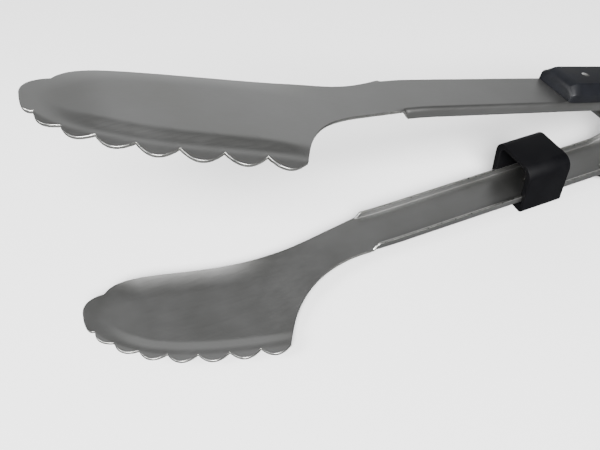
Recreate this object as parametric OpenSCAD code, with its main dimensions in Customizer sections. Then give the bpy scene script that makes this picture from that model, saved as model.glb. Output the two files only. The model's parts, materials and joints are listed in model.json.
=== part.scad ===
// Spring loaded kitchen tongs: two stamped steel arms with scalloped scoop heads, riveted handle
// scales, a sprung pivot, and a collar that slides back over a catch to lock them shut.
// Each piece is drawn about the pivot: -X runs to the tips, +Y across, and the lower arm lies along X.
// The upper arm is the lower arm's mirror image, turned up about the pivot by open_angle.

/* [Arms] */
// Pivot to the very tip of an arm
reach = 292; // [270:1:320]
// Width of an arm's channel
arm_w = 23; // [20:0.5:26]
// Thickness of the steel sheet
sheet = 1.2; // [0.8:0.1:1.5]
// Height of the side flanges, over the sheet
flange_h = 4.2; // [3:0.1:6]
// Pivot to the front end of the flanges
flange_reach = 160.5; // [150:0.5:170]
// Pivot to the outer face of the straight part, square to it
web_drop = 17.4; // [16:0.1:19]
// How much nearer the pivot the rear end of the web lies
rear_rise = 6; // [4:0.5:6.5]
// Length of the lower arm's tail behind the pivot
tail_len = 18; // [16:0.5:24]
// Length of the upper arm's tail behind the pivot
upper_tail = 5; // [4:0.5:6]
// Angle between the two arms as they stand open
open_angle = 15.4; // [10:0.2:18]

/* [Heads] */
// Length of the head, tip to heel
head_len = 79; // [70:1:90]
// Depth of the dished bowl
dish = 2.8; // [1.5:0.1:4]
// Depth of the flat rim along the scallops
near_depth = 1.2; // [0:0.1:2]
// Width of that rim
near_flat = 1.5; // [1:0.5:5]
// Width of the step down from that rim
near_roll = 6; // [4:0.5:9]
// Width of the rolled wall along the plain edge
far_roll = 12; // [6:0.5:16]
// Number of scallops along the near edge
scallops = 7; // [5:1:9]
// How far a scallop stands out, as a share of its own width
scallop_sag = 0.32; // [0.1:0.02:0.36]
// How far the head dips below the straight part
head_dip = 1.4; // [0:0.1:3]
// How far the tip turns in towards the other arm
tip_rise = 0.6; // [0:0.1:3]
// How far the neck rises above the straight part
neck_hump = 1.3; // [0:0.1:2]

/* [Handle scales] */
// Thickness of the upper scale
upper_scale_t = 7.3; // [5:0.1:9]
// Pivot to the upper scale's front end
upper_scale_reach = 77.3; // [72:0.5:84]
// Thickness of the lower scale
lower_scale_t = 4.4; // [3:0.1:4.4]
// Pivot to the lower scale's front end
lower_scale_reach = 34; // [31:0.5:36]
// Length of both scales behind the pivot
scale_tail = 8; // [6:0.5:9]
// Width of a scale's bevel
scale_bevel = 3.8; // [2:0.1:5]
// Radius of a rivet's shank
rivet_r = 1.4; // [1:0.1:2]
// Radius of a rivet's outer head
rivet_head_r = 1.85; // [1.6:0.05:2.6]
// Distance between rivets on the upper scale
rivet_pitch = 31; // [28:0.5:33]

/* [Pivot and spring] */
// Radius of the pivot pin
pin_r = 2.5; // [2:0.1:3]
// Radius of the pin's heads
pin_head_r = 4.2; // [3.6:0.1:5]
// Radius of the stop pin
stop_r = 1.5; // [1.2:0.1:1.8]
// Diameter of the spring's wire
wire_d = 1.6; // [1.2:0.1:1.8]
// Turns in the spring's coil
spring_turns = 7; // [5:1:8]
// Radius of the ears round the pivot
ear_r = 6.5; // [5.5:0.1:7]

/* [Lock] */
// Length of the collar along the arm
collar_len = 22.5; // [18:0.5:24]
// Height of the collar above the outer face of the arm
collar_top = 21.5; // [19:0.1:21.8]
// Depth of the collar below the outer face of the arm
collar_under = 5.4; // [3.5:0.1:6]
// Thickness of the collar's side walls
collar_wall = 1.9; // [1.5:0.1:2.5]
// Pivot to the collar's front face, unlocked
collar_reach = 82; // [80:0.5:84]
// Distance that the collar slides back to lock
lock_travel = 22; // [16:0.5:23]
// Rounding of the collar's upper corners
top_round = 6; // [4:0.5:7]
// Rounding of the collar's lower corners
foot_round = 2.5; // [1.5:0.5:3]
// Length of the catch's foot that the locked collar holds
catch_foot = 6.5; // [5:0.5:8]
// Gap round pieces that slide or turn in each other
slide_gap = 0.3; // [0.2:0.05:0.4]

/* [Hidden] */

steel = [0.62, 0.63, 0.63];
bright = [0.75, 0.75, 0.74];
black = [0.09, 0.1, 0.12];

half_w = arm_w / 2;
fit_gap = 0.05;            // radial gap of pins and rivets in their holes
ear_gap = 0.15;            // gap between an inner and an outer ear
rear_bend_len = 24;
rear_bend_x = -rear_bend_len - 2;
rear_z = -web_drop + rear_rise;
neck_half = 28;            // half length of the neck's hump
head_half = 55;            // half length of the head's dip
neck_mid = -flange_reach - 14;
head_mid = -reach + 64;
flange_x = -flange_reach;
heel_x = -reach + head_len;
tip_rise_len = 26;
ear_front = -16;
ear_rear = 13;
$fn = 48;

function ease(t) = let (s = max(0, min(1, t))) s * s * (3 - 2 * s);
function bump(x, mid, half) = abs(x - mid) >= half ? 0 : pow(cos(90 * (x - mid) / half), 2);
function mix(a, b, t) = a + (b - a) * t;
function bezier(p, t) =
    p[0] * pow(1 - t, 3) + 3 * p[1] * pow(1 - t, 2) * t + 3 * p[2] * (1 - t) * t * t + p[3] * t * t * t;

// Height of the web's outer face at x, below the pivot.
function web_z(x) =
    -web_drop + rear_rise * ease((x - rear_bend_x) / rear_bend_len)
    + neck_hump * bump(x, neck_mid, neck_half) - head_dip * bump(x, head_mid, head_half)
    + tip_rise * pow(max(0, 1 - (x + reach) / tip_rise_len), 2);

// The head's outline in plan. Near is the scalloped side, far the plain side.
tip_notch_near = [-reach + 3.6, -4.8];
tip_notch_far = [-reach + 10.2, 14.2];
tip_apex = [-reach, 4.6];
heel = [heel_x, -42.1];
cusp_line = [tip_notch_near, [-reach + 16.5, -27.6], [heel_x - 27.4, -34.6], heel];
neck_line = [heel, [heel_x + 8.7, -22.6], [neck_mid - 16.9, -half_w + 0.3], [flange_x, -half_w]];
far_line = [tip_notch_far, [-reach + 23.6, 30.5], [heel_x - 11.6, -5.8], [flange_x, half_w]];

steps_tip = 5;
steps_scallop = 6;
steps_neck = 10;
steps_edge = steps_tip + scallops * steps_scallop + steps_neck;
far_split = 0.68;          // share of the far line that faces the scallops

// A lobe from a to b, standing out by sag to the right of the way from a to b.
function lobe(a, b, t, sag) =
    let (d = b - a) mix(a, b, t) + [d[1], -d[0]] * sag * 4 * t * (1 - t);

// The tip's own lobe, from its apex round to each notch.
function tip_edge(end, t) =
    let (k = [tip_apex[0], end[1]])
    pow(1 - t, 2) * [tip_apex[0], tip_apex[1] + (end[1] > tip_apex[1] ? 0.8 : -0.8)]
    + 2 * t * (1 - t) * k + t * t * end;

// Each edge step i gives the smooth rim and the true edge on the near side, and the far edge.
function near_rim(i) =
    i <= steps_tip ? tip_edge(tip_notch_near, i / steps_tip)
    : i <= steps_edge - steps_neck
        ? bezier(cusp_line, (i - steps_tip) / (scallops * steps_scallop))
    : bezier(neck_line, (i - steps_edge + steps_neck) / steps_neck);
function near_edge(i) =
    i <= steps_tip || i >= steps_edge - steps_neck ? near_rim(i)
    : let (k = floor((i - steps_tip) / steps_scallop), t = (i - steps_tip) / steps_scallop - k)
      lobe(bezier(cusp_line, k / scallops), bezier(cusp_line, min(1, (k + 1) / scallops)), t,
          scallop_sag * min(1, 0.7 + 0.1 * k));
function far_edge(i) =
    i <= steps_tip ? tip_edge(tip_notch_far, i / steps_tip)
    : i <= steps_edge - steps_neck
        ? bezier(far_line, far_split * (i - steps_tip) / (scallops * steps_scallop))
    : bezier(far_line, mix(far_split, 1, (i - steps_edge + steps_neck) / steps_neck));

// The dish fades in over its first dish_lead behind the tip, and out before the neck.
dish_lead = 22;
dish_end = -reach + 104;
dish_trail = 38;
scallop_tilt = 0.2;        // slope at which the scallops turn in
function dish_share(x) = ease((x + reach - 4) / dish_lead) * ease((dish_end - x) / dish_trail);

// Depth of the dish at a point d_near and d_far from the rims: a step by the scallops, a roll beyond.
function near_wall(d) = mix(near_depth / dish, 1, ease((d - near_flat) / near_roll));
function far_wall(d) = 1 - pow(1 - min(1, d / far_roll), 2);
function dish_at(x, d_near, d_far) =
    dish * dish_share(x) * near_wall(d_near) * far_wall(d_far) - scallop_tilt * max(0, -d_near);

// Places across the sheet, closer together at the rolled walls.
across = [0, 0.04, 0.09, 0.15, 0.22, 0.34, 0.5, 0.66, 0.78, 0.85, 0.91, 0.96, 1];

// The line through the scallops' notches, its way, and how far a point lies inside it.
function bezier_way(p, t) =
    (p[1] - p[0]) * pow(1 - t, 2) + 2 * (p[2] - p[1]) * (1 - t) * t + (p[3] - p[2]) * t * t;
function inside_rim(p, t) =
    let (w = bezier_way(cusp_line, t)) (p - bezier(cusp_line, t)) * [-w[1], w[0]] / norm(w);

// One row of points on the outer face of the head, from near to far.
function head_row(i) =
    let (
        a = near_edge(i), b = far_edge(i), along = (i - steps_tip) / (scallops * steps_scallop),
        t = max(0, min(1, along))
    )
    [for (s = across)
        let (p = mix(a, b, s), d = inside_rim(p, t))
        [p[0], p[1], web_z(p[0]) - dish_at(p[0], along == t ? d : max(0, d), norm(b - p))]];
function web_row(x) = [for (s = across) [x, mix(-half_w, half_w, s), web_z(x)]];

// A closed sheet from rows of outer points, its inner face a sheet thickness above.
module sheet_between(rows) {
    m = len(across);
    n = len(rows);
    points = [for (r = rows) each r, for (r = rows) each [for (p = r) p + [0, 0, sheet]]];
    function at(i, j, inner) = (inner ? n * m : 0) + i * m + j;
    polyhedron(points, [
        for (i = [0:n - 2], j = [0:m - 2]) each [
            [at(i, j, false), at(i + 1, j + 1, false), at(i, j + 1, false)],
            [at(i, j, false), at(i + 1, j, false), at(i + 1, j + 1, false)],
            [at(i, j, true), at(i, j + 1, true), at(i + 1, j + 1, true)],
            [at(i, j, true), at(i + 1, j + 1, true), at(i + 1, j, true)]
        ],
        for (i = [0:n - 2]) each [
            [at(i, 0, false), at(i, 0, true), at(i + 1, 0, true), at(i + 1, 0, false)],
            [at(i, m - 1, true), at(i, m - 1, false), at(i + 1, m - 1, false), at(i + 1, m - 1, true)]
        ],
        for (j = [0:m - 2]) each [
            [at(0, j, true), at(0, j, false), at(0, j + 1, false), at(0, j + 1, true)],
            [at(n - 1, j, false), at(n - 1, j, true), at(n - 1, j + 1, true), at(n - 1, j + 1, false)]
        ]
    ]);
}

// Faces of a closed tube through n rings of m points, each ring turning about the way the tube runs.
function tube_faces(n, m) = [
    for (i = [0:n - 2], j = [0:m - 1]) each [
        [i * m + j, (i + 1) * m + (j + 1) % m, i * m + (j + 1) % m],
        [i * m + j, (i + 1) * m + j, (i + 1) * m + (j + 1) % m]
    ],
    [for (j = [0:m - 1]) j],
    [for (j = [m - 1:-1:0]) (n - 1) * m + j]
];

// Places along the web where its height changes, front to rear, then its flat tail.
function web_places(tail) = [
    for (t = [1:7]) mix(flange_x, neck_mid + neck_half, t / 7),
    for (t = [0:10]) mix(rear_bend_x, rear_bend_x + rear_bend_len, t / 10),
    tail
];

// A plate of sheet in the XZ plane with its middle at y.
module side_plate(y) {
    translate([0, y + sheet / 2, 0]) rotate([90, 0, 0]) linear_extrude(sheet) children();
}

// Outline of one flange: it starts with a cut corner and follows the web to rear_x.
module flange_outline(rear_x) {
    xs = [for (x = web_places(rear_x)) if (x < rear_x) x, rear_x];
    corner = 1.2;
    polygon([
        [flange_x, web_z(flange_x) + sheet / 2],
        [flange_x, web_z(flange_x) + flange_h - corner],
        [flange_x + corner, web_z(flange_x + corner) + flange_h],
        for (x = xs) [x, web_z(x) + flange_h],
        for (k = [len(xs) - 1:-1:0]) [xs[k], web_z(xs[k]) + sheet / 2]
    ]);
}

// Outline of an ear: a disc round the pivot on a foot that follows the web.
module ear_outline(foot_rear) {
    xs = [for (x = web_places(foot_rear)) if (x > ear_front && x < foot_rear) x];
    circle(ear_r);
    polygon([
        [ear_front, web_z(ear_front) + sheet / 2], [-ear_r * 0.94, ear_r * 0.34],
        [ear_r * 0.94, ear_r * 0.34], [foot_rear, rear_z + sheet / 2],
        for (k = [len(xs) - 1:-1:0]) [xs[k], web_z(xs[k]) + sheet / 2]
    ]);
}

module pivot_hole() {
    rotate([90, 0, 0]) cylinder(r = pin_r + fit_gap, h = 2 * arm_w, center = true);
}

module web_hole(x, r) {
    translate([x, 0, web_z(x) - sheet]) cylinder(r = r, h = 3 * sheet);
}

// The stop pin sits behind the pivot, under the tooth on each inner ear.
tooth_len = 10;
tooth_w = 3;
tooth_turn = -10;          // angle of the tooth while the arms stand open
stop_dist = 8.2;
stop_turn = tooth_turn - asin((stop_r + tooth_w / 2 + fit_gap) / stop_dist);
stop_at = stop_dist * [cos(stop_turn), sin(stop_turn)];
hang_r = 3;
hang_x = tail_len - hang_r - 4;
detent_r = 1.6;
collar_x = -collar_reach;
detent_x = collar_x + collar_len / 2;
outer_ear_y = half_w - sheet / 2;
inner_ear_y = half_w - sheet * 1.5 - ear_gap;

module arm_sheet(tail) {
    sheet_between([for (i = [0:steps_edge]) head_row(i), for (x = web_places(tail)) web_row(x)]);
}

// --- the lower arm and what is fixed to it ---

lower_rivets = [-21, -1];
// The front rivet stands on the web's bend, so its inside head clears the rise beside it.
lower_grip = web_z(lower_rivets[0] + rivet_head_r + 0.5) - web_z(lower_rivets[0]) + 0.05;
module lower_arm() {
    color(steel) difference() {
        union() {
            arm_sheet(tail_len);
            for (side = [-1, 1]) side_plate(side * outer_ear_y) {
                flange_outline(ear_rear - 3);
                ear_outline(ear_rear);
            }
        }
        pivot_hole();
        translate([stop_at[0], 0, stop_at[1]])
            rotate([90, 0, 0]) cylinder(r = stop_r + fit_gap / 2, h = 2 * arm_w, center = true);
        for (x = lower_rivets) web_hole(x, rivet_r + fit_gap);
        web_hole(detent_x, detent_r);
        web_hole(hang_x, hang_r);
    }
}

// A rivet through a scale of thickness t at x, its formed head inside the web under a grip of extra.
module rivet(x, t, extra = 0) {
    head_t = 0.8;
    z = web_z(x);
    color(bright) {
        translate([x, 0, z - t]) cylinder(r = rivet_r, h = t + sheet + extra + head_t / 2);
        translate([x, 0, z - t]) cylinder(r = rivet_head_r, h = head_t);
        translate([x, 0, z + sheet + extra]) cylinder(r = rivet_head_r + 0.5, h = head_t);
    }
}

// A handle scale on the web's outer face, bevelled along both sides and at both ends.
module handle_scale(front, tail, t, rivets) {
    len_end = 5;
    ends = [0, 0.15, 0.4, 0.7, 1];
    function round_end(t) = sqrt(1 - pow(1 - t, 2));
    stations = [
        for (t = ends) [front + len_end * t, mix(0.5, 1, round_end(t)), mix(0.88, 1, round_end(t))],
        for (x = web_places(tail)) if (x > front + len_end + 1 && x < tail - len_end - 0.5) [x, 1, 1],
        for (k = [4:-1:0])
            let (t = ends[k]) [tail - len_end * t, mix(0.5, 1, round_end(t)), mix(0.88, 1, round_end(t))]
    ];
    side_h = t * 0.5;
    function ring(s) =
        let (w = (half_w - 0.1) * s[2], z = web_z(s[0]), h = t * s[1], low = min(side_h, h * 0.6))
        [
            [s[0], -w, z], [s[0], -w, z - low], [s[0], -w + scale_bevel, z - h],
            [s[0], w - scale_bevel, z - h], [s[0], w, z - low], [s[0], w, z]
        ];
    n = len(stations);
    m = 6;
    color(black) difference() {
        polyhedron([for (s = stations) each ring(s)], tube_faces(n, m));
        for (x = rivets) translate([x, 0, web_z(x) - t - 1]) {
            cylinder(r = rivet_r + fit_gap, h = t + 3);
            cylinder(r = rivet_head_r + fit_gap, h = 1 + 0.8);
        }
    }
}

module pivot_pin() {
    washer_t = 0.6;
    head_t = 1.2;
    grip = half_w + washer_t;
    color(bright) rotate([90, 0, 0]) {
        cylinder(r = pin_r, h = 2 * grip, center = true);
        for (side = [-1, 1]) translate([0, 0, side * (grip + head_t / 2)])
            cylinder(r = pin_head_r, h = head_t, center = true);
    }
}

module pivot_washer(side) {
    washer_t = 0.6;
    color(steel) translate([0, side * (half_w + washer_t / 2), 0]) rotate([90, 0, 0]) difference() {
        cylinder(r = pin_head_r + 1.2, h = washer_t, center = true);
        cylinder(r = pin_r + fit_gap, h = 2 * washer_t, center = true);
    }
}

bush_r = pin_r + 0.7;
bush_len = 2 * (inner_ear_y - sheet / 2) - ear_gap;
module pivot_bush() {
    color(black) rotate([90, 0, 0]) difference() {
        cylinder(r = bush_r, h = bush_len, center = true);
        cylinder(r = pin_r + fit_gap, h = 2 * bush_len, center = true);
    }
}

module stop_pin() {
    color(bright) translate([stop_at[0], 0, stop_at[1]])
        rotate([90, 0, 0]) cylinder(r = stop_r, h = arm_w + 0.6, center = true);
}

// --- the spring: one coil whose first half follows the lower arm and whose second half the upper ---

coil_r = bush_r + 0.2 + wire_d / 2;
coil_pitch = wire_d + 0.25;
leg_x = -32;
leg_z = -web_drop + sheet + wire_d / 2 + 0.15;
leg_far = norm([leg_x, leg_z]);
leg_len = sqrt(leg_far * leg_far - coil_r * coil_r);
leg_slope = atan2(leg_z, leg_x) + 180 - asin(coil_r / leg_far);
coil_start = leg_slope - 90;
half_turns = spring_turns / 2 - (2 * coil_start + open_angle) / 720;
coil_half = half_turns * coil_pitch;
coil_steps = 72;
coil_sides = 8;

// A half runs from its straight leg's tangent point, at y = side * coil_half, in to just short of y = 0.
module spring_half(side) {
    function ring(k) =
        let (
            a = coil_start + (360 * half_turns - 1) * k / coil_steps,
            u = [cos(a), 0, sin(a)],
            c = coil_r * u + [0, side * mix(coil_half, wire_d / 2 + 0.06, k / coil_steps), 0]
        )
        [for (q = [0:coil_sides - 1])
            c + wire_d / 2 * (u * cos(360 * q / coil_sides) + [0, sin(360 * q / coil_sides), 0])];
    color(bright) {
        polyhedron([for (k = [0:coil_steps]) each ring(k)], tube_faces(coil_steps + 1, coil_sides));
        translate([leg_x, side * coil_half, leg_z])
            rotate([0, 90 - leg_slope, 0]) cylinder(d = wire_d * 0.98, h = leg_len + 0.4);
    }
}

// --- the lock ---

// The collar: a ring with a slot for the arm and a window above it for the catch.
module lock_collar() {
    w = 2 * (half_w + slide_gap + collar_wall);
    bottom = -web_drop - collar_under;
    top = -web_drop + collar_top;
    slot_low = -web_drop - slide_gap;
    slot_high = -web_drop + flange_h + slide_gap;
    window_w = arm_w - 2.6;
    roof = 2.4;
    cut = 2.4;             // corner cut under the roof, inside the rounded top
    height = collar_top + collar_under;
    color(black) difference() {
        translate([collar_x, 0, bottom]) rotate([90, 0, 90]) linear_extrude(collar_len) {
            translate([-w / 2, foot_round]) square([w, height - foot_round - top_round]);
            translate([-w / 2 + top_round, foot_round]) square([w - 2 * top_round, height - foot_round]);
            translate([-w / 2 + foot_round, 0]) square([w - 2 * foot_round, 2 * foot_round]);
            for (side = [-1, 1]) {
                translate([side * (w / 2 - foot_round), foot_round]) circle(foot_round);
                translate([side * (w / 2 - top_round), height - top_round]) circle(top_round);
            }
        }
        translate([collar_x - 1, -half_w - slide_gap, slot_low])
            cube([collar_len + 2, arm_w + 2 * slide_gap, slot_high - slot_low]);
        translate([collar_x - 1, 0, 0]) rotate([90, 0, 90]) linear_extrude(collar_len + 2) polygon([
            [-window_w / 2, slot_low], [window_w / 2, slot_low], [window_w / 2, top - roof - cut],
            [window_w / 2 - cut, top - roof], [-window_w / 2 + cut, top - roof],
            [-window_w / 2, top - roof - cut]
        ]);
        translate([collar_x + 3, -leaf_w / 2 - slide_gap, slot_low - leaf_pocket])
            cube([collar_len - 6, leaf_w + 2 * slide_gap, leaf_pocket + 1]);
    }
}

leaf_w = 8;
leaf_pocket = 2;
leaf_t = 0.4;
// A bowed leaf in the collar's floor presses a dimple into the arm's detent hole.
module collar_leaf_spring() {
    l = collar_len - 6.6;
    floor_z = -web_drop - slide_gap - leaf_pocket;
    arch = leaf_pocket - leaf_t - 0.1;
    steps = 12;
    function leaf_z(t) = floor_z + arch * pow(sin(180 * max(0, min(1, (t - 0.1) / 0.8))), 2);
    color(bright) {
        translate([collar_x + 3.3, leaf_w / 2, 0]) rotate([90, 0, 0]) linear_extrude(leaf_w)
            polygon([
                for (k = [0:steps]) [l * k / steps, leaf_z(k / steps)],
                for (k = [steps:-1:0]) [l * k / steps, leaf_z(k / steps) + leaf_t]
            ]);
        translate([detent_x, 0, floor_z + arch + leaf_t / 2]) cylinder(r = detent_r - 0.5, h = leaf_t);
    }
}

upper_rivets = [for (k = [0:2]) -62.5 + k * rivet_pitch];
catch_w = 11;
catch_t = 1.4;
catch_leg_x = collar_x + lock_travel + collar_len + 2.2;
// A hooked strip under the upper web: its foot points forward, into the locked collar's window.
module lock_catch() {
    top = -web_drop + sheet;
    drop = 11.4;
    base_rear = upper_rivets[1] + 5;
    color(bright) difference() {
        translate([0, catch_w / 2, 0]) rotate([90, 0, 0]) linear_extrude(catch_w) {
            translate([catch_leg_x, top]) square([base_rear - catch_leg_x, catch_t]);
            translate([catch_leg_x, top]) square([catch_t, drop + catch_t]);
            translate([catch_leg_x - catch_foot, top + drop]) square([catch_foot + catch_t, catch_t]);
        }
        translate([upper_rivets[1], 0, top - 1]) cylinder(r = rivet_r + fit_gap, h = catch_t + 2);
    }
}

// --- the upper arm, drawn as a lower one and then mirrored up ---

module upper_arm() {
    color(steel) difference() {
        union() {
            arm_sheet(upper_tail);
            for (side = [-1, 1]) {
                side_plate(side * outer_ear_y) flange_outline(ear_front - 6);
                side_plate(side * inner_ear_y) {
                    ear_outline(upper_tail - 0.5);
                    rotate(-tooth_turn - open_angle) translate([0, -tooth_w / 2])
                        square([tooth_len, tooth_w]);
                }
            }
        }
        pivot_hole();
        for (x = upper_rivets) web_hole(x, rivet_r + fit_gap);
    }
}

module upper_frame() {
    rotate([0, open_angle, 0]) mirror([0, 0, 1]) children();
}

// The whole stands on the lower head and the collar, its origin under the middle of its box.
box_front = -reach;
box_rear = tail_len;
box_near = -44.8;
box_far = 18.5;
box_low = -web_drop - max(head_dip + dish, collar_under);
module place() {
    translate([-(box_front + box_rear) / 2, -(box_near + box_far) / 2, -box_low]) children();
}

place() {
    lower_arm();
    handle_scale(-lower_scale_reach, scale_tail, lower_scale_t, lower_rivets);  // lower_handle_scale
    rivet(lower_rivets[0], lower_scale_t, lower_grip);  // lower_rivet_front
    rivet(lower_rivets[1], lower_scale_t);  // lower_rivet_rear
    pivot_pin();
    pivot_washer(-1);  // pivot_washer_near
    pivot_washer(1);  // pivot_washer_far
    pivot_bush();
    stop_pin();
    spring_half(-1);  // spring_lower_half
    lock_collar();
    collar_leaf_spring();
    upper_frame() {
        upper_arm();
        handle_scale(-upper_scale_reach, scale_tail, upper_scale_t, upper_rivets);  // upper_handle_scale
        rivet(upper_rivets[0], upper_scale_t);  // upper_rivet_front
        rivet(upper_rivets[1], upper_scale_t, catch_t);  // upper_rivet_middle
        rivet(upper_rivets[2], upper_scale_t);  // upper_rivet_rear
        spring_half(1);  // spring_upper_half
        lock_catch();
    }
}
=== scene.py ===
# Spring loaded kitchen tongs, open, standing on a pale floor.
# Sizes are in millimetres about the pivot, as on a maker's drawing, and one function takes them to
# metres in the model's frame. The upper arm is the lower arm's mirror image turned about the pivot.
import bpy
import bmesh
import json
import math
from mathutils import Matrix, Vector


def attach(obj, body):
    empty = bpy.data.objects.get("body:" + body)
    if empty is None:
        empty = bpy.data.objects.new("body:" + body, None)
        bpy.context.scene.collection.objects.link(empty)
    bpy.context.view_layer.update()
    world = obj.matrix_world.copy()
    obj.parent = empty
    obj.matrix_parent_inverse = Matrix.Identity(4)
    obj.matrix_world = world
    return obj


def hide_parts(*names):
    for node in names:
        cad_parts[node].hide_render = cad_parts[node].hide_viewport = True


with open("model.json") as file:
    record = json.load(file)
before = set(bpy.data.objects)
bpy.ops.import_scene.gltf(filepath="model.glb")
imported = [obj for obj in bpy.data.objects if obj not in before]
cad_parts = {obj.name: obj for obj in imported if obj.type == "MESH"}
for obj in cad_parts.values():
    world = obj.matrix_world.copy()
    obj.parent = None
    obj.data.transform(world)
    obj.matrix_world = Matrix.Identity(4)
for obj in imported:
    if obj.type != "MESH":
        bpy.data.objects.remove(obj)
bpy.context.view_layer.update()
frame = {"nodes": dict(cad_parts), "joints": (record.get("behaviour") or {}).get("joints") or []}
scene = bpy.context.scene

# ---------------------------------------------------------------- sizes, mm
REACH = 292.0
ARM_W = 23.0
HALF_W = ARM_W / 2
SHEET = 1.2
FLANGE_H = 4.2
FLANGE_X = -160.5
WEB_DROP = 17.4
REAR_RISE = 6.0
OPEN_ANGLE = math.radians(15.4)
HEAD_LEN = 79.0
DISH = 2.8
NEAR_DEPTH = 1.2
NEAR_FLAT = 1.5
NEAR_ROLL = 6.0
FAR_ROLL = 12.0
SCALLOPS = 7
SCALLOP_SAG = 0.32
HEAD_DIP = 1.4
TIP_RISE = 0.6
TIP_RISE_LEN = 26.0
NECK_HUMP = 1.3
REAR_BEND_LEN = 24.0
REAR_BEND_X = -REAR_BEND_LEN - 2
NECK_HALF = 28.0
HEAD_HALF = 55.0
NECK_MID = FLANGE_X - 14
HEAD_MID = -REACH + 64
HEEL_X = -REACH + HEAD_LEN
REAR_Z = -WEB_DROP + REAR_RISE
EAR_R = 6.5
EAR_FRONT = -16.0
EAR_REAR = 13.0
LOWER_TAIL = 18.0
UPPER_TAIL = 5.0
BEND_R = 1.7               # outer radius of the fold between web and flange
EDGE_ROUND = 0.14          # how far a cut edge is broken

pivot = Vector(frame["joints"][0]["pos_m"])


def place(arm, x, y, z):
    """A point of an arm's own drawing, in millimetres, as a point of the model, in metres."""
    if arm == "upper":
        z = -z
        c, s = math.cos(OPEN_ANGLE), math.sin(OPEN_ANGLE)
        x, z = x * c + z * s, -x * s + z * c
    return pivot + Vector((x, y, z)) / 1000


# ---------------------------------------------------------------- materials
def colour(hex_code):
    """An sRGB hex colour as the linear RGBA that a shader takes."""
    out = []
    for i in (1, 3, 5):
        c = int(hex_code[i:i + 2], 16) / 255
        out.append(c / 12.92 if c <= 0.04045 else ((c + 0.055) / 1.055) ** 2.4)
    return (*out, 1.0)


def add(tree, kind, settings=None, links=None):
    """Adds a node. settings are its properties or unlinked sockets; links are socket: (node, output)."""
    node = tree.nodes.new(kind)
    for key, value in (settings or {}).items():
        if isinstance(key, int) or key in node.inputs:
            node.inputs[key].default_value = value
        else:
            setattr(node, key, value)
    for key, (source, output) in (links or {}).items():
        tree.links.new(source.outputs[output], node.inputs[key])
    return node


def material(name, **shader):
    mat = bpy.data.materials.new(name)
    mat.use_nodes = True
    tree = mat.node_tree
    bsdf = tree.nodes["Principled BSDF"]
    for key, value in shader.items():
        bsdf.inputs[key.replace("_", " ")].default_value = value
    coords = add(tree, "ShaderNodeTexCoord")
    return mat, tree, bsdf, coords


def ramp(tree, source, output, stops):
    """A colour ramp through (position, hex colour) stops."""
    node = add(tree, "ShaderNodeValToRGB", links={"Fac": (source, output)})
    band = node.color_ramp
    while len(band.elements) < len(stops):
        band.elements.new(0.5)
    for element, (pos, hex_code) in zip(band.elements, stops):
        element.position = pos
        element.color = colour(hex_code)
    return node


def spread(tree, source, output, low, high, start=0.3, end=0.7):
    return add(tree, "ShaderNodeMapRange",
               {"From Min": start, "From Max": end, "To Min": low, "To Max": high},
               {"Value": (source, output)})


def blasted_steel():
    # Stainless sheet, stamped and then bead blasted: an even grey satin that spreads the light
    # widely, with faint clouding where the blast was uneven and fine lines left by the rolling.
    mat, tree, bsdf, co = material("stainless_sheet_bead_blasted", Metallic=1.0, Roughness=0.36)
    cloud = add(tree, "ShaderNodeTexNoise", {"Scale": 38.0, "Detail": 4.0, "Roughness": 0.55},
                {"Vector": (co, "Object")})
    tint = ramp(tree, cloud, "Fac", [(0.3, "#8A8A88"), (0.55, "#8E8E8D"), (0.75, "#929291")])
    tree.links.new(tint.outputs["Color"], bsdf.inputs["Base Color"])
    # blast marks are about 0.1 mm across; drawn at 0.25 mm so that they show at all
    grit = add(tree, "ShaderNodeTexNoise", {"Scale": 4000.0, "Detail": 2.0, "Roughness": 0.6},
               {"Vector": (co, "Object")})
    stretch = add(tree, "ShaderNodeMapping", {"Scale": (60.0, 1400.0, 1400.0)},
                  {"Vector": (co, "Object")})
    rolled = add(tree, "ShaderNodeTexNoise", {"Scale": 1.0, "Detail": 3.0, "Roughness": 0.6},
                 {"Vector": (stretch, "Vector")})
    rough_a = spread(tree, cloud, "Fac", 0.39, 0.44)
    rough_b = spread(tree, rolled, "Fac", -0.02, 0.02)
    rough = add(tree, "ShaderNodeMath", {"operation": "ADD"},
                {0: (rough_a, "Result"), 1: (rough_b, "Result")})
    tree.links.new(rough.outputs[0], bsdf.inputs["Roughness"])
    height = add(tree, "ShaderNodeMath", {"operation": "ADD"},
                 {0: (grit, "Fac"), 1: (rolled, "Fac")})
    bump = add(tree, "ShaderNodeBump", {"Strength": 0.08, "Distance": 0.00004},
               {"Height": (height, "Value")})
    tree.links.new(bump.outputs["Normal"], bsdf.inputs["Normal"])
    return mat


def tumbled_edge_with_painted_glint():
    # The sheared edge of the same sheet after tumbling: rubbed smooth, with fine marks across it. Its
    # base colour is lighter than the sheet's: partly the smoother finish, partly a painted highlight for
    # the bright line along the cut edges.
    mat, tree, bsdf, co = material("stainless_cut_edge_tumbled_painted_glint", Metallic=1.0, Roughness=0.2)
    marks = add(tree, "ShaderNodeTexNoise", {"Scale": 900.0, "Detail": 3.0}, {"Vector": (co, "Object")})
    # painted highlight: this tint is lighter than the sheet's so that the cut edges read as bright lines
    tint = ramp(tree, marks, "Fac", [(0.3, "#A9A9A6"), (0.7, "#BDBDBA")])
    tree.links.new(tint.outputs["Color"], bsdf.inputs["Base Color"])
    rough = spread(tree, marks, "Fac", 0.26, 0.40)
    tree.links.new(rough.outputs["Result"], bsdf.inputs["Roughness"])
    return mat


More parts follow.
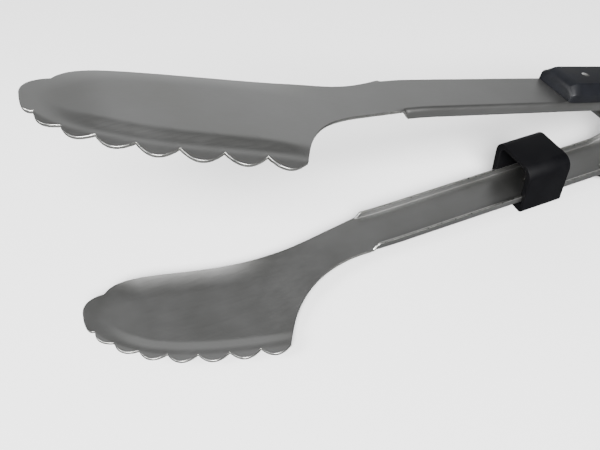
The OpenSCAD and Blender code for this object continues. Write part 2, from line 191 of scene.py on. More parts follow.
def polished_steel(name, low, high, rough_low, rough_high):
    # Cold headed or turned stainless, polished: bright, with light turning marks.
    mat, tree, bsdf, co = material(name, Metallic=1.0, Roughness=rough_low)
    marks = add(tree, "ShaderNodeTexNoise", {"Scale": 1500.0, "Detail": 3.0}, {"Vector": (co, "Object")})
    tint = ramp(tree, marks, "Fac", [(0.3, low), (0.7, high)])
    tree.links.new(tint.outputs["Color"], bsdf.inputs["Base Color"])
    rough = spread(tree, marks, "Fac", rough_low, rough_high)
    tree.links.new(rough.outputs["Result"], bsdf.inputs["Roughness"])
    bump = add(tree, "ShaderNodeBump", {"Strength": 0.08, "Distance": 0.00002},
               {"Height": (marks, "Fac")})
    tree.links.new(bump.outputs["Normal"], bsdf.inputs["Normal"])
    return mat


def moulded_plastic(name, low, high, rough_low, rough_high, grain_mm, grain_height, specular):
    # Injection moulded, black: a fine spark-eroded grain breaks up a soft sheen.
    mat, tree, bsdf, co = material(name, Roughness=rough_low, IOR=1.5, Specular_IOR_Level=specular)
    scuff = add(tree, "ShaderNodeTexNoise", {"Scale": 120.0, "Detail": 4.0}, {"Vector": (co, "Object")})
    tint = ramp(tree, scuff, "Fac", [(0.35, low), (0.7, high)])
    tree.links.new(tint.outputs["Color"], bsdf.inputs["Base Color"])
    grain = add(tree, "ShaderNodeTexNoise", {"Scale": 1000.0 / grain_mm, "Detail": 2.0},
                {"Vector": (co, "Object")})
    rough = spread(tree, scuff, "Fac", rough_low, rough_high)
    tree.links.new(rough.outputs["Result"], bsdf.inputs["Roughness"])
    bump = add(tree, "ShaderNodeBump", {"Strength": 0.25, "Distance": grain_height},
               {"Height": (grain, "Fac")})
    tree.links.new(bump.outputs["Normal"], bsdf.inputs["Normal"])
    return mat


STEEL = blasted_steel()
EDGE_WITH_PAINTED_GLINT = tumbled_edge_with_painted_glint()
RIVET = polished_steel("stainless_rivet_cold_headed", "#C2C2BF", "#DADAD8", 0.16, 0.30)
PIN = polished_steel("stainless_pin_turned", "#B8B8B5", "#D0D0CE", 0.20, 0.34)
WIRE = polished_steel("spring_wire_drawn", "#A9A9A6", "#C6C6C3", 0.22, 0.36)
SCALE = moulded_plastic("nylon_scale_satin_moulded", "#06070B", "#0B0D13", 0.46, 0.56,
                        grain_mm=0.35, grain_height=0.00002, specular=0.34)
COLLAR = moulded_plastic("nylon_collar_matt_moulded", "#020204", "#050507", 0.52, 0.64,
                         grain_mm=0.45, grain_height=0.00004, specular=0.14)
BUSH = moulded_plastic("acetal_bush_moulded", "#101012", "#18181A", 0.45, 0.55,
                       grain_mm=0.5, grain_height=0.00003, specular=0.5)


# ---------------------------------------------------------------- helpers for pieces
def finish_piece(obj, body, slot, *nodes):
    """Attaches the piece to the body that carries it and hides the CAD nodes that it stands for; slot is
    not used.
    """
    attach(obj, body)
    if nodes:
        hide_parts(*nodes)
    return obj


def mesh_object(name, verts, faces, mats, face_mats=None, smooth=50):
    mesh = bpy.data.meshes.new(name)
    mesh.from_pydata([tuple(v) for v in verts], [], faces)
    for m in mats:
        mesh.materials.append(m)
    if face_mats:
        mesh.polygons.foreach_set("material_index", face_mats)
    mesh.validate()
    obj = bpy.data.objects.new(name, mesh)
    scene.collection.objects.link(obj)
    outward(mesh)
    if smooth:
        mesh.shade_smooth()
        mesh.set_sharp_from_angle(angle=math.radians(smooth))
    return obj


def outward(mesh):
    bm = bmesh.new()
    bm.from_mesh(mesh)
    bmesh.ops.recalc_face_normals(bm, faces=bm.faces)
    bm.to_mesh(mesh)
    bm.free()


def settle(obj, smooth=None):
    """Turns a piece and its live modifiers into a plain mesh at the origin."""
    bpy.context.view_layer.update()
    evaluated = obj.evaluated_get(bpy.context.evaluated_depsgraph_get())
    mesh = bpy.data.meshes.new_from_object(evaluated)
    obj.modifiers.clear()
    if obj.type == "MESH":
        obj.data = mesh
        out = obj
    else:
        out = bpy.data.objects.new(obj.name + "_mesh", mesh)
        scene.collection.objects.link(out)
        bpy.data.objects.remove(obj)
    if smooth:
        out.data.shade_smooth()
        out.data.set_sharp_from_angle(angle=math.radians(smooth))
    return out


# ---------------------------------------------------------------- the arm's shape
def ease(t):
    t = max(0.0, min(1.0, t))
    return t * t * (3 - 2 * t)


def hump(x, mid, half):
    return 0.0 if abs(x - mid) >= half else math.cos(math.pi / 2 * (x - mid) / half) ** 2


def web_z(x):
    """Height of the web's outer face at x."""
    return (-WEB_DROP + REAR_RISE * ease((x - REAR_BEND_X) / REAR_BEND_LEN)
            + NECK_HUMP * hump(x, NECK_MID, NECK_HALF) - HEAD_DIP * hump(x, HEAD_MID, HEAD_HALF)
            + TIP_RISE * max(0.0, 1 - (x + REACH) / TIP_RISE_LEN) ** 2)


def bezier(p, t):
    a, b, c, d = (Vector(q) for q in p)
    return a * (1 - t) ** 3 + b * 3 * (1 - t) ** 2 * t + c * 3 * (1 - t) * t * t + d * t ** 3


TIP_NEAR = (-REACH + 3.6, -4.8)
TIP_FAR = (-REACH + 10.2, 14.2)
TIP_Y = 4.6
HEEL = (HEEL_X, -42.1)
CUSP_LINE = [TIP_NEAR, (-REACH + 16.5, -27.6), (HEEL_X - 27.4, -34.6), HEEL]
NECK_LINE = [HEEL, (HEEL_X + 8.7, -22.6), (NECK_MID - 16.9, -HALF_W + 0.3), (FLANGE_X, -HALF_W)]
FAR_LINE = [TIP_FAR, (-REACH + 23.6, 30.5), (HEEL_X - 11.6, -5.8), (FLANGE_X, HALF_W)]
FAR_SPLIT = 0.68


TIP_HALF = 0.8              # half the width that the first row across the tip starts with


def tip_edge(end, t):
    """The tip's outline from its foremost row to one of the notches beside it."""
    side = TIP_HALF if end[1] > TIP_Y else -TIP_HALF
    knee = Vector((-REACH, end[1]))
    return Vector((-REACH, TIP_Y + side)) * (1 - t) ** 2 + knee * 2 * t * (1 - t) + Vector(end) * t * t


def head_row(part, t, k=0):
    """(place along the notch line, near edge, far edge) for one row across the head."""
    if part == "tip":
        return 0.0, tip_edge(TIP_NEAR, t), tip_edge(TIP_FAR, t)
    if part == "neck":
        return 1.0, bezier(NECK_LINE, t), bezier(FAR_LINE, FAR_SPLIT + (1 - FAR_SPLIT) * t)
    a, b = bezier(CUSP_LINE, k / SCALLOPS), bezier(CUSP_LINE, (k + 1) / SCALLOPS)
    d = b - a
    sag = SCALLOP_SAG * min(1.0, 0.7 + 0.1 * k)
    edge = a + d * t + Vector((d.y, -d.x)) * sag * 4 * t * (1 - t)
    along = (k + t) / SCALLOPS
    return along, edge, bezier(FAR_LINE, FAR_SPLIT * along)


def inside_rim(p, t):
    """How far a point lies inside the line through the scallops' notches."""
    a, b, c, d = (Vector(q) for q in CUSP_LINE)
    way = (b - a) * (1 - t) ** 2 + (c - b) * 2 * (1 - t) * t + (d - c) * t * t
    return (p - bezier(CUSP_LINE, t)).dot(Vector((-way.y, way.x)).normalized())


DISH_START, DISH_LEAD = -REACH + 4, 22.0
DISH_END, DISH_TRAIL = -REACH + 104, 38.0
SCALLOP_TILT = 0.2


def dish_at(x, near, far):
    """A step down by the scallops and a wide roll on the far side, fading at the tip and the neck."""
    share = ease((x - DISH_START) / DISH_LEAD) * ease((DISH_END - x) / DISH_TRAIL)
    low = NEAR_DEPTH / DISH
    near_wall = low + (1 - low) * ease((near - NEAR_FLAT) / NEAR_ROLL)
    far_wall = 1 - (1 - min(1.0, max(0.0, far) / FAR_ROLL)) ** 2
    return DISH * share * near_wall * far_wall - SCALLOP_TILT * max(0.0, -near)


BEND_STEPS = 7
WALL_STEPS = 5
RIM_STEPS = BEND_STEPS + WALL_STEPS
WEB_STEPS = 44
TIP_ROWS, SCALLOP_ROWS, NECK_ROWS = 14, 16, 34
CUT_END_ROWS, CUT_END_PITCH = 12, 0.35      # rows where the flange starts with a cut corner
CHANNEL_PITCH, EAR_PITCH = 2.2, 0.6         # distance between rows, along the channel and by the ears


def flange_top(arm, x):
    """Height of the flange's edge above the web's outer face, the lower arm's outer ears included."""
    top = web_z(x) + FLANGE_H
    if arm == "lower" and EAR_FRONT < x < EAR_REAR:
        knee = EAR_R * 0.94
        if abs(x) <= knee:
            ear = math.sqrt(EAR_R ** 2 - x * x)
        elif x < 0:
            low = web_z(EAR_FRONT) + SHEET / 2
            ear = low + (EAR_R * 0.34 - low) * (x - EAR_FRONT) / (-EAR_FRONT - knee)
        else:
            low = REAR_Z + SHEET / 2
            ear = EAR_R * 0.34 + (low - EAR_R * 0.34) * (x - knee) / (EAR_REAR - knee)
        top = max(top if x < EAR_REAR - 3 else ear, ear)
    return max(BEND_R + 0.1, top - web_z(x))


def flange_share(arm, x):
    """0 where the sheet is flat to its edge, 1 where the edge is folded up into a flange."""
    end = EAR_REAR if arm == "lower" else EAR_FRONT - 6
    return ease((x - FLANGE_X + 0.5) / 3.5) * (1 - ease((x - end + 2.5) / 2.5))


def arm_rows(arm):
    """Points of the arm's outer face, row by row from the tip, each from the near edge to the far."""
    tail = LOWER_TAIL if arm == "lower" else UPPER_TAIL
    rows = []
    steps = [("tip", i / TIP_ROWS, 0) for i in range(TIP_ROWS)]
    steps += [("scallop", i / SCALLOP_ROWS, k) for k in range(SCALLOPS) for i in range(SCALLOP_ROWS)]
    steps += [("neck", i / NECK_ROWS, 0) for i in range(NECK_ROWS)]
    for part, t, k in steps:
        along, a, b = head_row(part, t, k)
        length = (b - a).length
        margin = min(BEND_R, 0.2 * length)
        places = [margin * i / RIM_STEPS for i in range(RIM_STEPS)]
        places += [margin + (length - 2 * margin) * i / WEB_STEPS for i in range(WEB_STEPS + 1)]
        places += [length - margin + margin * i / RIM_STEPS for i in range(1, RIM_STEPS + 1)]
        row = []
        for s in places:
            p = a + (b - a) * (s / length)
            d = inside_rim(p, along)
            d = d if part == "scallop" else max(0.0, d)
            row.append(Vector((p.x, p.y, web_z(p.x) - dish_at(p.x, d, (b - p).length))))
        rows.append(row)
    xs = [FLANGE_X + CUT_END_PITCH * i for i in range(CUT_END_ROWS)]
    for pitch, end in ((CHANNEL_PITCH, EAR_FRONT - 10), (EAR_PITCH, tail - 0.7)):
        while xs[-1] < end:
            xs.append(xs[-1] + pitch)
    return rows + [channel_row(arm, x) for x in xs + [tail]]


def channel_row(arm, x):
    """One row across the channel, from the near flange's edge to the far one's."""
    share, height, z = flange_share(arm, x), flange_top(arm, x), web_z(x)
    half = []
    for i in range(1, RIM_STEPS + 1):
        flat = (HALF_W - BEND_R + BEND_R * i / RIM_STEPS, 0.0)
        if i <= BEND_STEPS:
            a = math.pi / 2 * i / BEND_STEPS
            bent = (HALF_W - BEND_R + BEND_R * math.sin(a), BEND_R * (1 - math.cos(a)))
        else:
            bent = (HALF_W, BEND_R + (height - BEND_R) * (i - BEND_STEPS) / WALL_STEPS)
        half.append((flat[0] + (bent[0] - flat[0]) * share, bent[1] * share))
    row = [Vector((x, -y, z + h)) for y, h in reversed(half)]
    flat_half = HALF_W - BEND_R
    row += [Vector((x, -flat_half + 2 * flat_half * i / WEB_STEPS, z)) for i in range(WEB_STEPS + 1)]
    row += [Vector((x, y, z + h)) for y, h in half]
    return row


def shell(rows):
    """A closed sheet from a grid of outer points: its inner face, and a rounded cut edge all round."""
    n, m = len(rows), len(rows[0])
    outer = [p for r in rows for p in r]
    quads = [(i * m + j, (i + 1) * m + j, (i + 1) * m + j + 1, i * m + j + 1)
             for i in range(n - 1) for j in range(m - 1)]
    probe = bpy.data.meshes.new("probe")
    probe.from_pydata([tuple(p) for p in outer], [], quads)
    normals = [Vector(v.vector) for v in probe.vertex_normals]
    if normals[(n // 2) * m + m // 2].z < 0:
        normals = [-v for v in normals]
    bpy.data.meshes.remove(probe)
    inner = [p + k * SHEET for p, k in zip(outer, normals)]
    loop = ([i * m for i in range(n)] + [(n - 1) * m + j for j in range(1, m)]
            + [i * m + m - 1 for i in range(n - 2, -1, -1)] + [j for j in range(m - 2, 0, -1)])
    verts = outer + inner
    base = len(verts)
    count = len(loop)
    for k, v in enumerate(loop):
        along = outer[loop[(k + 1) % count]] - outer[loop[k - 1]]
        out = along.cross(normals[v]).normalized()
        edge = outer[v].copy()
        verts[v] = edge - out * EDGE_ROUND
        verts[n * m + v] = edge - out * EDGE_ROUND + normals[v] * SHEET
        verts.append(edge + normals[v] * EDGE_ROUND)
        verts.append(edge + normals[v] * (SHEET - EDGE_ROUND))
    faces = quads + [tuple(n * m + q for q in reversed(f)) for f in quads]
    mats = [0] * len(faces)
    for k, v in enumerate(loop):
        w = loop[(k + 1) % count]
        a, b = base + 2 * k, base + 2 * ((k + 1) % count)
        faces += [(v, w, b, a), (a, b, b + 1, a + 1), (a + 1, b + 1, n * m + w, n * m + v)]
        mats += [1, 1, 1]
    return verts, faces, mats


HOLE_SIDES = 48


def prism(name, arm, outline, y_low, y_high, holes=()):
    """A plate between two values of y: outline and round holes are drawn in x and z."""
    curve = bpy.data.curves.new(name, "CURVE")
    curve.dimensions = "2D"
    curve.fill_mode = "BOTH"
    turns = [math.tau * i / HOLE_SIDES for i in range(HOLE_SIDES)]
    loops = [outline] + [[(cx + r * math.cos(a), cz + r * math.sin(a)) for a in turns]
                         for cx, cz, r in holes]
    for pts in loops:
        spline = curve.splines.new("POLY")
        spline.points.add(len(pts) - 1)
        for q, (x, z) in zip(spline.points, pts):
            q.co = (x, z, 0, 1)
        spline.use_cyclic_u = True
    curve.extrude = (y_high - y_low) / 2
    obj = bpy.data.objects.new(name, curve)
    scene.collection.objects.link(obj)
    out = settle(obj)
    mid = (y_low + y_high) / 2
    for v in out.data.vertices:
        x, z, y = v.co
        v.co = place(arm, x, mid + y, z)
    bm = bmesh.new()
    bm.from_mesh(out.data)
    bmesh.ops.remove_doubles(bm, verts=bm.verts, dist=1e-6)
    bmesh.ops.recalc_face_normals(bm, faces=bm.faces)
    bm.to_mesh(out.data)
    bm.free()
    return out


def round_edges(obj, width_mm, angle, segments):
    """Rounds every edge sharper than the angle, in degrees."""
    mod = obj.modifiers.new("edges", "BEVEL")
    mod.width = width_mm / 1000
    mod.segments = segments
    mod.limit_method = "ANGLE"
    mod.angle_limit = math.radians(angle)
    return settle(obj, 40)


def join(objs, name):
    """One piece from several, each with its own materials."""
    bm = bmesh.new()
    mats = []
    for o in objs:
        part = bmesh.new()
        part.from_mesh(o.data)
        slots = []
        for m in o.data.materials:
            if m not in mats:
                mats.append(m)
            slots.append(mats.index(m))
        for f in part.faces:
            f.material_index = slots[f.material_index] if slots else 0
        tmp = bpy.data.meshes.new("tmp")
        part.to_mesh(tmp)
        part.free()
        bm.from_mesh(tmp)
        bpy.data.meshes.remove(tmp)
    mesh = bpy.data.meshes.new(name)
    bm.to_mesh(mesh)
    bm.free()
    for m in mats:
        mesh.materials.append(m)
    out = bpy.data.objects.new(name, mesh)
    scene.collection.objects.link(out)
    for o in objs:
        bpy.data.objects.remove(o)
    return out


HANG_X, HANG_R = 11.0, 3.0
DETENT_X, DETENT_R = -70.75, 1.6
DRILL_SIDES = 40


def drill(obj, arm, holes):
    """Cuts round holes, each (x, radius), square through the web."""
    cutters = []
    n = DRILL_SIDES
    turns = [math.tau * i / n for i in range(n)]
    for x, r in holes:
        z = web_z(x)
        verts = [place(arm, x + r * math.cos(a), r * math.sin(a), z + up)
                 for up in (-2, 4) for a in turns]
        faces = [tuple(range(n)), tuple(range(2 * n - 1, n - 1, -1))]
        faces += [(i, (i + 1) % n, n + (i + 1) % n, n + i) for i in range(n)]
        cutters.append(mesh_object("cutter", verts, faces, [EDGE_WITH_PAINTED_GLINT], smooth=0))
    cutter = join(cutters, "cutter_all")
    cutter.hide_render = True
    mod = obj.modifiers.new("holes", "BOOLEAN")
    mod.object = cutter
    mod.solver = "EXACT"
    out = settle(obj, 50)
    bpy.data.objects.remove(cutter)
    return out


def ear_outline(rear):
    """An inner ear in x and z: round over the pin, its foot inside the web's thickness."""
    arc = [(EAR_R * math.cos(a), EAR_R * math.sin(a))
           for a in (math.radians(20 + 140 * i / 24) for i in range(25))]
    foot = [EAR_FRONT + (rear - EAR_FRONT) * i / 14 for i in range(15)]
    return arc + [(x, web_z(x) + SHEET / 2) for x in foot]


TOOTH_ROOT, TOOTH_LEN, TOOTH_W, TOOTH_TURN = 4.0, 10.0, 3.0, math.radians(-10)
INNER_EAR_Y = HALF_W - SHEET * 1.5 - 0.15
PIN_R = 2.5


def build_arm(arm):
    """One stamped arm. The upper one has its inner ears and stop teeth as plates of the same sheet."""
    verts, faces, mats = shell(arm_rows(arm))
    obj = mesh_object(arm + "_arm_stamping", [place(arm, *v) for v in verts], faces, [STEEL, EDGE_WITH_PAINTED_GLINT], mats)
    if arm == "lower":
        obj = drill(obj, arm, [(HANG_X, HANG_R), (DETENT_X, DETENT_R)])
        return finish_piece(obj, "lower_arm", "arm_steel", "lower_arm")
    parts = [obj]
    for side in (-1, 1):
        y = side * INNER_EAR_Y
        ear = prism("ear", arm, ear_outline(UPPER_TAIL - 0.5), y - SHEET / 2, y + SHEET / 2,
                    [(0, 0, PIN_R + 0.05)])
        turn = -TOOTH_TURN - OPEN_ANGLE
        c, s = math.cos(turn), math.sin(turn)
        half = TOOTH_W / 2
        corners = ((TOOTH_ROOT, -half), (TOOTH_LEN, -half), (TOOTH_LEN, half), (TOOTH_ROOT, half))
        box = [(x * c - z * s, x * s + z * c) for x, z in corners]
        tooth = prism("tooth", arm, box, y - SHEET / 2 + 0.01, y + SHEET / 2 - 0.01)
        for p in (ear, tooth):
            p.data.materials.clear()
            p.data.materials.append(STEEL)
            parts.append(round_edges(p, 0.15, 50, 2))
    return finish_piece(join(parts, "upper_arm_stamping"), "upper_arm", "arm_steel", "upper_arm")


build_arm("lower")
build_arm("upper")


# ---------------------------------------------------------------- handle scales
SCALE_END = 5.0             # length over which a scale's end comes down
SCALE_BEVEL, SCALE_TAIL = 3.8, 8
UPPER_SCALE_FRONT, UPPER_SCALE_T = -77.3, 7.3
LOWER_SCALE_FRONT, LOWER_SCALE_T = -34, 4.4
END_SHARES = (0, 0.05, 0.15, 0.27, 0.4, 0.55, 0.7, 0.85, 1)


def scale_stations(front, tail):
    """(x, share of the height, share of the width) along a scale, its ends rounded down."""
    end = SCALE_END
    xs = [x for x in (REAR_BEND_X + REAR_BEND_LEN * i / 24 for i in range(25))
          if front + end + 1 < x < tail - end - 0.5]
    rounds = [(end * t, math.sqrt(1 - (1 - t) ** 2)) for t in END_SHARES]
    shape = [(d, 0.5 + 0.5 * r, 0.88 + 0.12 * r) for d, r in rounds]
    return ([(front + d, high, wide) for d, high, wide in shape] + [(x, 1, 1) for x in xs]
            + [(tail - d, high, wide) for d, high, wide in reversed(shape)])


def handle_scale(arm, front, thick):
    """A moulded scale on the web's outer face, bevelled along both sides."""
    verts, faces = [], []
    bevel = SCALE_BEVEL
    stations = scale_stations(front, SCALE_TAIL)
    for x, high, wide in stations:
        w, z, h = (HALF_W - 0.1) * wide, web_z(x), thick * high
        low = min(thick * 0.5, h * 0.6)
        for y, up in ((-w, 0), (-w, low), (-w + bevel, h), (w - bevel, h), (w, low), (w, 0)):
            verts.append(place(arm, x, y, z - up))
    n, m = len(stations), 6
    for i in range(n - 1):
        for j in range(m):
            faces.append((i * m + j, i * m + (j + 1) % m, (i + 1) * m + (j + 1) % m, (i + 1) * m + j))
    faces += [tuple(range(m)), tuple((n - 1) * m + j for j in range(m - 1, -1, -1))]
    obj = mesh_object(arm + "_scale_moulding", verts, faces, [SCALE], smooth=0)
    return round_edges(obj, 0.55, 24, 4)


finish_piece(handle_scale("upper", UPPER_SCALE_FRONT, UPPER_SCALE_T),
             "upper_arm", "scale_plastic", "upper_handle_scale")
finish_piece(handle_scale("lower", LOWER_SCALE_FRONT, LOWER_SCALE_T),
             "lower_arm", "scale_plastic", "lower_handle_scale")


# ---------------------------------------------------------------- geometry node trees
def node_tree(name, inputs):
    tree = bpy.data.node_groups.new(name, "GeometryNodeTree")
    tree.interface.new_socket("Geometry", in_out="INPUT", socket_type="NodeSocketGeometry")
    for label, kind in inputs:
        tree.interface.new_socket(label, in_out="INPUT", socket_type=kind)
    tree.interface.new_socket("Geometry", in_out="OUTPUT", socket_type="NodeSocketGeometry")
    return tree, add(tree, "NodeGroupInput"), add(tree, "NodeGroupOutput")


def run_tree(name, source, tree, values):
    """Puts a node tree on a piece, sets its inputs by identifier and keeps the resulting mesh."""
    mod = source.modifiers.new(name, "NODES")
    mod.node_group = tree
    for item in tree.interface.items_tree:
        if item.in_out == "INPUT" and item.name in values:
            mod[item.identifier] = values[item.name]
    out = settle(source, 40)
    out.name = name
    return out


def rivet_tree():
    """A flattened ball on each point, whose outer half is a rivet's domed head."""
    tree, given, result = node_tree("domed_rivet_heads", [
        ("Head radius", "NodeSocketFloat"), ("Dome height", "NodeSocketFloat"),
        ("Turn", "NodeSocketVector"), ("Finish", "NodeSocketMaterial")])
    dome = add(tree, "GeometryNodeMeshUVSphere", {"Segments": 32, "Rings": 16},
               {"Radius": (given, "Head radius")})
    share = add(tree, "ShaderNodeMath", {"operation": "DIVIDE"},
                {0: (given, "Dome height"), 1: (given, "Head radius")})
    squash = add(tree, "ShaderNodeCombineXYZ", {"X": 1.0, "Y": 1.0}, {"Z": (share, "Value")})
    flat = add(tree, "GeometryNodeTransform",
               links={"Geometry": (dome, "Mesh"), "Scale": (squash, "Vector")})
    many = add(tree, "GeometryNodeInstanceOnPoints",
               links={"Points": (given, "Geometry"), "Instance": (flat, "Geometry"),
                      "Rotation": (given, "Turn")})
    real = add(tree, "GeometryNodeRealizeInstances", links={"Geometry": (many, "Instances")})
    done = add(tree, "GeometryNodeSetMaterial",
               links={"Geometry": (real, "Geometry"), "Material": (given, "Finish")})
    tree.links.new(done.outputs["Geometry"], result.inputs["Geometry"])
    return tree


def wire_tree():
    """A round wire swept along a path of edges."""
    tree, given, result = node_tree("round_wire_on_a_path", [
        ("Wire radius", "NodeSocketFloat"), ("Finish", "NodeSocketMaterial")])
    path = add(tree, "GeometryNodeMeshToCurve", links={"Mesh": (given, "Geometry")})
    ring = add(tree, "GeometryNodeCurvePrimitiveCircle", {"Resolution": 14},
               {"Radius": (given, "Wire radius")})
    swept = add(tree, "GeometryNodeCurveToMesh", {"Fill Caps": True},
                {"Curve": (path, "Curve"), "Profile Curve": (ring, "Curve")})
    real = add(tree, "GeometryNodeRealizeInstances", links={"Geometry": (swept, "Mesh")})
    done = add(tree, "GeometryNodeSetMaterial",
               links={"Geometry": (real, "Geometry"), "Material": (given, "Finish")})
    tree.links.new(done.outputs["Geometry"], result.inputs["Geometry"])
    return tree


RIVET_TREE = rivet_tree()
WIRE_TREE = wire_tree()


def path_object(name, points, joined=True):
    """Points for a node tree, joined by edges one to the next or left loose."""
    mesh = bpy.data.meshes.new(name)
    edges = [(i, i + 1) for i in range(len(points) - 1)] if joined else []
    mesh.from_pydata([tuple(p) for p in points], edges, [])
    obj = bpy.data.objects.new(name, mesh)
    scene.collection.objects.link(obj)
    return obj


# ---------------------------------------------------------------- rivets
HEAD_R, DOME = 1.85, 0.35
INNER_HEAD_R, INNER_DOME = HEAD_R + 0.5, 0.75
UPPER_RIVETS = (-62.5, -31.5, -0.5)
LOWER_RIVETS = (-21.0, -1.0)
CATCH_T = 1.4               # the catch lies under the middle upper rivet's inside head
LOWER_GRIP = 0.72           # lifts the front lower rivet's inside head clear of the web's bend


def rivets(arm, places, thick, nodes, inside_grip):
    """Domed heads on the scale, and larger ones on the web inside the channel."""
    turn = (0.0, OPEN_ANGLE if arm == "upper" else 0.0, 0.0)
    outside = [place(arm, x, 0, web_z(x) - thick + 0.08) for x in places]
    inside = [place(arm, x, 0, web_z(x) + SHEET + g + 0.1) for x, g in zip(places, inside_grip)]
    rows = []
    for label, points, radius, dome in (("outer", outside, HEAD_R, DOME),
                                        ("inner", inside, INNER_HEAD_R, INNER_DOME)):
        source = path_object("rivet_points", points, joined=False)
        rows.append(run_tree("rivets_" + label, source, RIVET_TREE,
                             {"Head radius": radius / 1000, "Dome height": dome / 1000,
                              "Turn": turn, "Finish": RIVET}))
    piece = join(rows, arm + "_rivets_domed")
    return finish_piece(piece, arm + "_arm", "bright_steel", *nodes)


rivets("upper", UPPER_RIVETS, UPPER_SCALE_T,
       ("upper_rivet_front", "upper_rivet_middle", "upper_rivet_rear"), (0, CATCH_T, 0))
rivets("lower", LOWER_RIVETS, LOWER_SCALE_T, ("lower_rivet_front", "lower_rivet_rear"), (LOWER_GRIP, 0))

# ---------------------------------------------------------------- torsion spring
WIRE_D = 1.6
COIL_R = PIN_R + 0.7 + 0.2 + WIRE_D / 2
LEG_X, LEG_Z = -32.0, -WEB_DROP + SHEET + WIRE_D / 2 + 0.15
LEG_FAR = math.hypot(LEG_X, LEG_Z)
LEG_SLOPE = math.atan2(LEG_Z, LEG_X) + math.pi - math.asin(COIL_R / LEG_FAR)
COIL_START = LEG_SLOPE - math.pi / 2
SPRING_TURNS = 7
HALF_TURNS = SPRING_TURNS / 2 - (2 * COIL_START + OPEN_ANGLE) / (4 * math.pi)
COIL_HALF = HALF_TURNS * (WIRE_D + 0.25)


COIL_STEPS, LEG_STEPS = 130, 8
COIL_SHORT = 0.0175         # angle by which each half stops short of the other, in radians


def spring_half(arm, side, node):
    """One leg and half of the coil, wound from its ear to the middle."""
    points = [Vector((LEG_X, side * COIL_HALF, LEG_Z))]
    start = Vector((COIL_R * math.cos(COIL_START), side * COIL_HALF, COIL_R * math.sin(COIL_START)))
    points += [points[0].lerp(start, t / LEG_STEPS) for t in range(1, LEG_STEPS)]
    for k in range(COIL_STEPS + 1):
        a = COIL_START + (math.tau * HALF_TURNS - COIL_SHORT) * k / COIL_STEPS
        y = COIL_HALF + (WIRE_D / 2 + 0.06 - COIL_HALF) * k / COIL_STEPS
        points.append(Vector((COIL_R * math.cos(a), side * y, COIL_R * math.sin(a))))
    source = path_object(node, [place(arm, *p) for p in points])
    piece = run_tree(node.replace("half", "wire"), source, WIRE_TREE,
                     {"Wire radius": WIRE_D / 2000, "Finish": WIRE})
    outward(piece.data)
    return finish_piece(piece, arm + "_arm", "spring_steel", node)


spring_half("lower", -1, "spring_lower_half")
spring_half("upper", 1, "spring_upper_half")

# ---------------------------------------------------------------- collar
COLLAR_X, COLLAR_LEN = -82.0, 22.5
SLIDE_GAP, COLLAR_WALL, COLLAR_ROOF = 0.3, 1.9, 2.4
COLLAR_HALF = HALF_W + SLIDE_GAP + COLLAR_WALL
COLLAR_LOW, COLLAR_HIGH = -WEB_DROP - 5.4, -WEB_DROP + 21.5
COLLAR_TOP_ROUND, COLLAR_FOOT_ROUND = 6.0, 2.5
WINDOW_HALF = HALF_W - 1.3
WINDOW_CUT = 2.4            # corner cut under the roof, inside the rounded top
POCKET_HALF, POCKET_END = 4.3, 3.0


def block(name, outline, x_low, x_high, mat):
    """A bar along x whose end is the outline, drawn in y and z."""
    m = len(outline)
    verts = [place("lower", x, y, z) for x in (x_low, x_high) for y, z in outline]
    faces = [tuple(range(m)), tuple(range(2 * m - 1, m - 1, -1))]
    faces += [(j, (j + 1) % m, m + (j + 1) % m, m + j) for j in range(m)]
    return mesh_object(name, verts, faces, [mat], smooth=0)


def rounded(half, low, high, top_r, foot_r, steps=12):
    """A rectangle in y and z with one radius for its upper corners and one for its lower."""
    pts = []
    top_y, top_z, foot_y, foot_z = half - top_r, high - top_r, half - foot_r, low + foot_r
    for cy, cz, r, a0 in ((foot_y, foot_z, foot_r, -90), (top_y, top_z, top_r, 0),
                          (-top_y, top_z, top_r, 90), (-foot_y, foot_z, foot_r, 180)):
        for i in range(steps + 1):
            a = math.radians(a0 + 90 * i / steps)
            pts.append((cy + r * math.cos(a), cz + r * math.sin(a)))
    return pts


def collar():
    """The moulded collar: a slot that the arm's channel runs through, with a window above it."""
    rear = COLLAR_X + COLLAR_LEN
    outline = rounded(COLLAR_HALF, COLLAR_LOW, COLLAR_HIGH, COLLAR_TOP_ROUND, COLLAR_FOOT_ROUND)
    body = block("lock_collar_moulding", outline, COLLAR_X, rear, COLLAR)
    slot, window, cut = HALF_W + SLIDE_GAP, WINDOW_HALF, WINDOW_CUT
    low, mid, high = -WEB_DROP - SLIDE_GAP, -WEB_DROP + FLANGE_H + SLIDE_GAP, COLLAR_HIGH - COLLAR_ROOF
    inside = [(-slot, low), (slot, low), (slot, mid), (window, mid), (window, high - cut),
              (window - cut, high), (-window + cut, high), (-window, high - cut),
              (-window, mid), (-slot, mid)]
    cutter = block("cutter", inside, COLLAR_X - 2, rear + 2, COLLAR)
    cutter.hide_render = True
    half = POCKET_HALF
    under = [(-half, low - 2), (half, low - 2), (half, low + 1), (-half, low + 1)]
    pocket = block("cutter", under, COLLAR_X + POCKET_END, rear - POCKET_END, COLLAR)
    pocket.hide_render = True
    for c in (cutter, pocket):
        mod = body.modifiers.new("cut", "BOOLEAN")
        mod.object = c
        mod.solver = "EXACT"
    body = settle(body)
    for c in (cutter, pocket):
        bpy.data.objects.remove(c)
    return round_edges(body, 0.5, 40, 3)


finish_piece(collar(), "lock_collar", "collar_plastic", "lock_collar")

# ---------------------------------------------------------------- pieces kept as drawn
for node, mat in (("pivot_pin", PIN), ("pivot_washer_near", PIN), ("pivot_washer_far", PIN),
                  ("pivot_bush", BUSH), ("stop_pin", PIN), ("collar_leaf_spring", WIRE),
                  ("lock_catch", STEEL)):
    mesh = frame["nodes"][node].data
    mesh.materials.clear()
    mesh.materials.append(mat)


# ---------------------------------------------------------------- floor, light and camera
FLOOR_HALF = 3.0


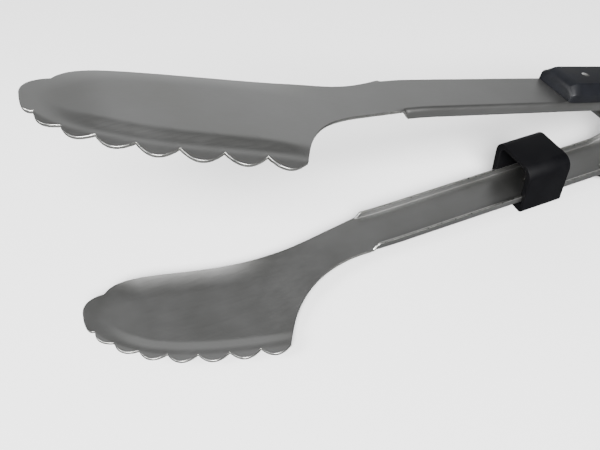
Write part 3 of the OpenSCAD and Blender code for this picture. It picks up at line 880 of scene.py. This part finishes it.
def pale_floor():
    """A white sheet that the steel doesn't mirror."""
    mat, _, bsdf, _ = material("white_paper_sweep", Roughness=0.9)
    bsdf.inputs["Base Color"].default_value = colour("#FFFFFF")
    h = FLOOR_HALF
    mesh = bpy.data.meshes.new("floor")
    mesh.from_pydata([(-h, -h, 0), (h, -h, 0), (h, h, 0), (-h, h, 0)], [], [(0, 1, 2, 3)])
    mesh.materials.append(mat)
    obj = bpy.data.objects.new("floor", mesh)
    scene.collection.objects.link(obj)
    obj.visible_glossy = False


LAMP_SHEEN = 0.12           # the lamps light the floor but show little in the steel


def soft_light(name, at, target, size, power):
    lamp = bpy.data.lights.new(name, "AREA")
    lamp.shape = "RECTANGLE"
    lamp.size, lamp.size_y = size
    lamp.energy = power
    lamp.specular_factor = LAMP_SHEEN
    obj = bpy.data.objects.new(name, lamp)
    obj.location = at
    obj.rotation_euler = (Vector(target) - Vector(at)).to_track_quat("-Z", "Y").to_euler()
    scene.collection.objects.link(obj)


pale_floor()
soft_light("front_softbox", (-0.5, -1.3, 1.25), (0, 0.1, 0.02), (1.3, 0.9), 150)
soft_light("left_softbox", (-1.5, 0.1, 0.9), (0, 0, 0.02), (0.8, 0.8), 34)

WALL_WAY = (0.35, 0.90, 0.25)       # direction of the pale wall's middle
BELOW_WAY = (0.0, -0.3, -0.95)      # direction of the light that the floor sends back


def soft_room():
    """A dim room: a pale wall behind the object and a dark ceiling, for the steel to reflect."""
    world = bpy.data.worlds.new("soft_room")
    world.use_nodes = True
    tree = world.node_tree
    co = add(tree, "ShaderNodeTexCoord")
    facing = add(tree, "ShaderNodeVectorMath", {"operation": "DOT_PRODUCT", 1: WALL_WAY},
                 {0: (co, "Generated")})
    wall = add(tree, "ShaderNodeMapRange",
               {"interpolation_type": "SMOOTHSTEP", "From Min": 0.74, "From Max": 0.95,
                "To Min": 0.12, "To Max": 1.06}, {"Value": (facing, "Value")})
    below = add(tree, "ShaderNodeVectorMath", {"operation": "DOT_PRODUCT", 1: BELOW_WAY},
                {0: (co, "Generated")})
    bounce = add(tree, "ShaderNodeMapRange",
                 {"interpolation_type": "SMOOTHSTEP", "From Min": 0.0, "From Max": 0.8,
                  "To Min": 0.0, "To Max": 0.34}, {"Value": (below, "Value")})
    both = add(tree, "ShaderNodeMath", {"operation": "ADD"},
               {0: (wall, "Result"), 1: (bounce, "Result")})
    back = tree.nodes["Background"]
    back.inputs["Color"].default_value = colour("#F2F3F4")
    tree.links.new(both.outputs["Value"], back.inputs["Strength"])
    scene.world = world


soft_room()

CAMERA_FROM_PIVOT = (-0.2465, -0.1759, 0.1950)

camera_data = bpy.data.cameras.new("camera")
camera_data.lens = 36.3
camera_data.sensor_width = 36.0
camera_data.clip_start = 0.01
camera = bpy.data.objects.new("camera", camera_data)
right = Vector((0.9323, -0.3566, -0.0606)).normalized()
forward = Vector((0.2063, 0.6618, -0.7208)).normalized()
up = right.cross(forward).normalized()
right = forward.cross(up)
turn = Matrix((right, up, -forward)).transposed().to_4x4()
camera.matrix_world = Matrix.Translation(pivot + Vector(CAMERA_FROM_PIVOT)) @ turn
scene.collection.objects.link(camera)
scene.camera = camera
